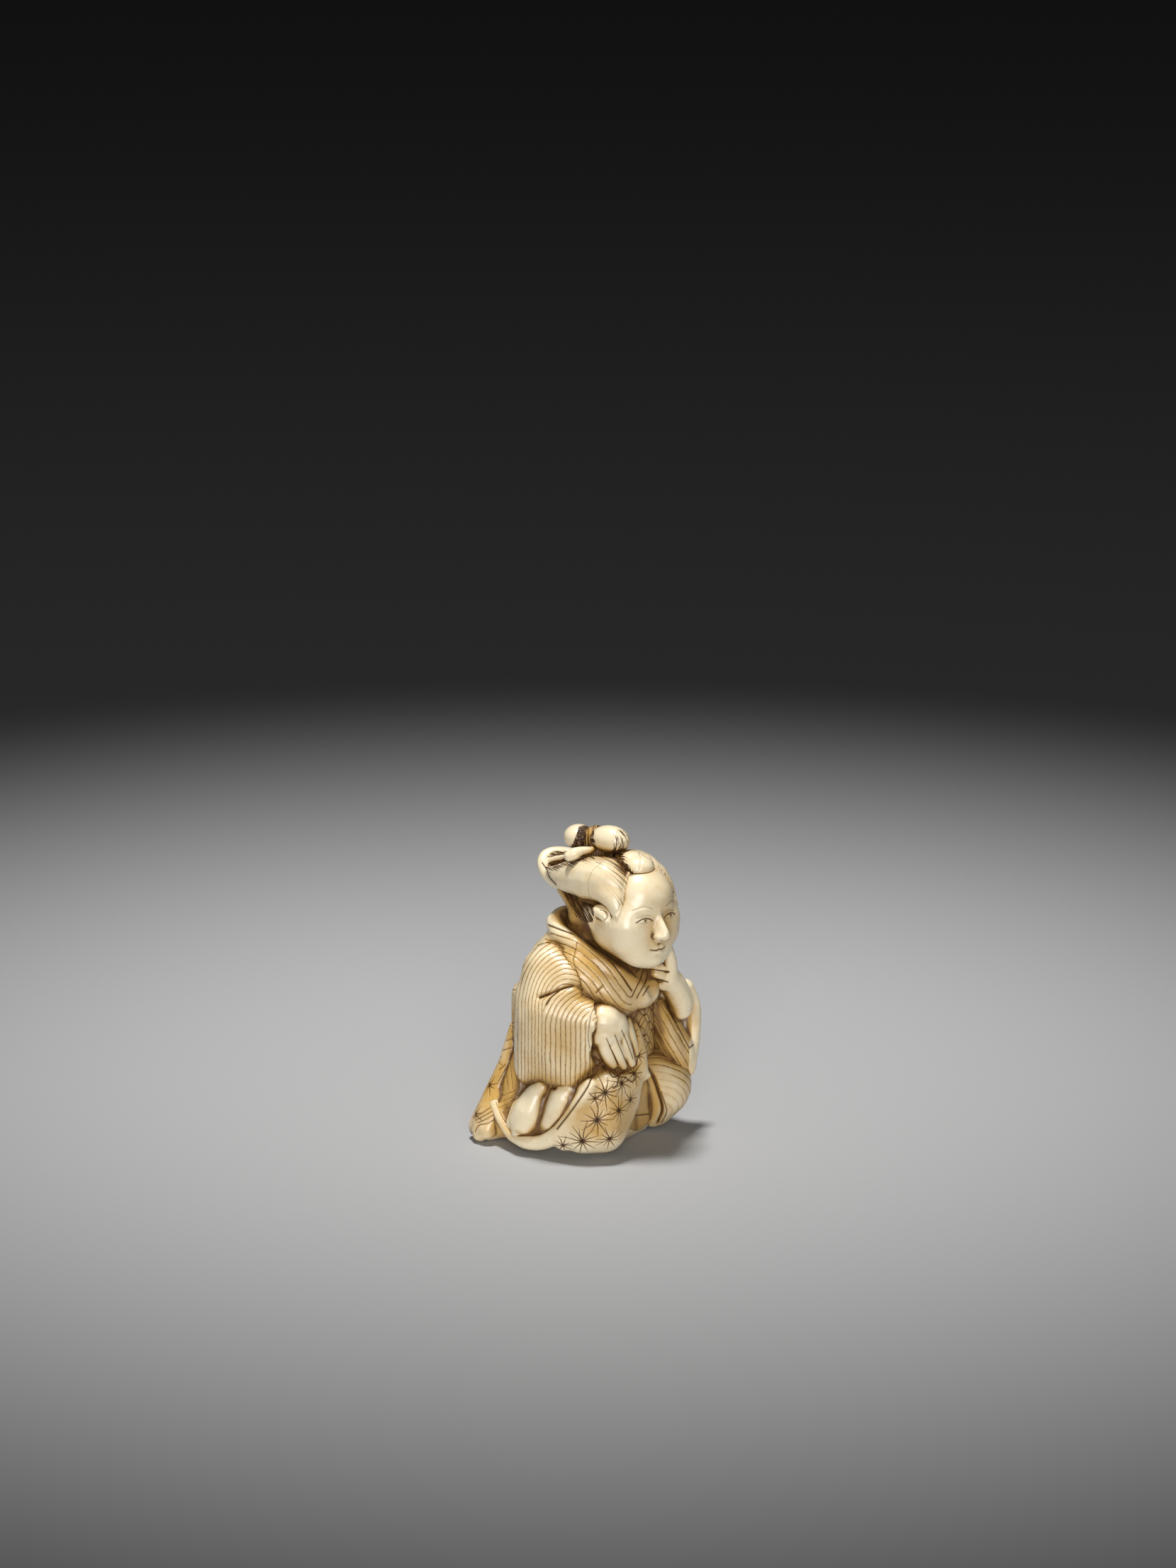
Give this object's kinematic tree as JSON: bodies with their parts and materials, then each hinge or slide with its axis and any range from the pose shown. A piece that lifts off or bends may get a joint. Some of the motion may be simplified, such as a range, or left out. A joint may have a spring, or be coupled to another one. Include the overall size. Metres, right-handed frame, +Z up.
{
  "type": "netsuke",
  "caption": "Carved ivory toggle in the shape of a seated lady in a kimono, one hand on a folded robe and a finger at the chin, with joined cord holes underneath.",
  "frame": {"origin": "middle of the flat underside, between the cord holes", "axes": "+Z up, the lady faces -Y, and her right side is -X"},
  "size_m": [0.023, 0.0246, 0.04],
  "materials": {
    "ivory": "polished ivory with a honey patina, engraved lines filled with dark brown stain",
    "stained_ivory": "polished ivory with a deeper patina and engraved star and ring patterns",
    "hair_ivory": "polished ivory with fine stained hair strokes"
  },
  "bodies": {
    "root": {"bow_tail_left": "stained_ivory", "bow_tail_right": "stained_ivory", "bow": "stained_ivory", "chest": "ivory", "left_sleeve": "ivory", "right_sleeve": "ivory", "under_robe": "ivory", "left_knee": "ivory", "robe_train": "ivory", "lining_fold_front": "ivory", "lining_fold_rear": "ivory", "right_robe_fold": "stained_ivory", "hem_band": "ivory", "collar": "ivory", "neck": "ivory", "left_hand": "ivory", "head": "ivory", "side_hair_left": "hair_ivory", "side_hair_right": "hair_ivory", "back_hair": "hair_ivory", "forelock": "hair_ivory", "topknot_front_loop": "hair_ivory", "topknot_rear_loop": "hair_ivory", "topknot_tie": "hair_ivory", "hair_bar": "ivory", "right_hand": "ivory", "sash": "stained_ivory", "seat": "ivory"}
  },
  "joints": []
}
